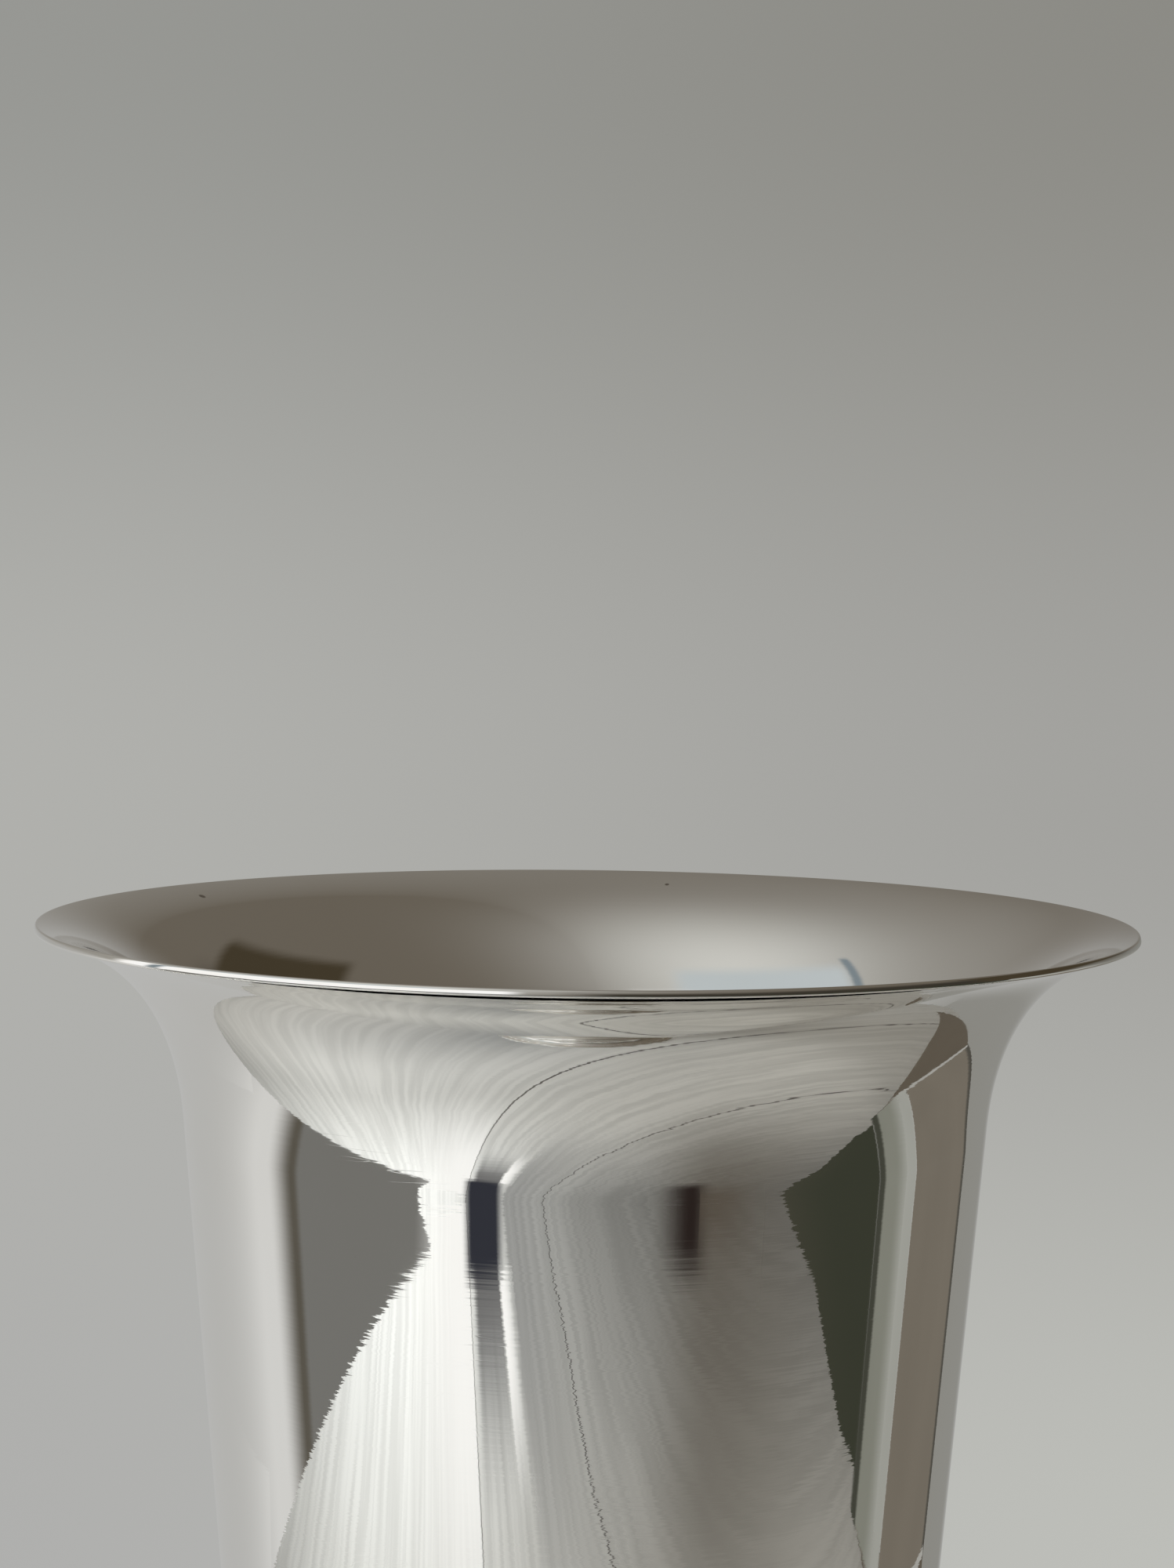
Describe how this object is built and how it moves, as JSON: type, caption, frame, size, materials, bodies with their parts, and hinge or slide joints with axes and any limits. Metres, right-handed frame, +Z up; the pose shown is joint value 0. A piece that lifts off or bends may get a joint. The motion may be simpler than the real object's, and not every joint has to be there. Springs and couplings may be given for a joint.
{
  "type": "trumpet vase",
  "caption": "Tall polished metal vase: a straight tapered body that flares to a wide plain rim, standing on a beaded waist and a weighted round foot.",
  "frame": {"origin": "middle of the underside, on the surface that the vase stands on", "axes": "+Z up along the axis of revolution, towards the rim"},
  "size_m": [0.13, 0.13, 0.26],
  "materials": {
    "silver_plate": "polished",
    "solder": "satin",
    "fastener_steel": "satin",
    "ballast_iron": "matte",
    "plate_steel": "satin",
    "felt": "matte"
  },
  "bodies": {
    "root": {"trumpet_body": "silver_plate", "vessel_floor": "silver_plate", "floor_solder_seam": "solder", "waist_collar": "silver_plate", "foot_shell": "silver_plate", "ballast_weight": "ballast_iron", "centre_stud": "fastener_steel", "stud_solder_seam": "solder", "clamp_washer": "fastener_steel", "lock_washer": "fastener_steel", "clamp_nut": "fastener_steel", "base_plate": "plate_steel", "felt_pad": "felt"}
  },
  "joints": []
}
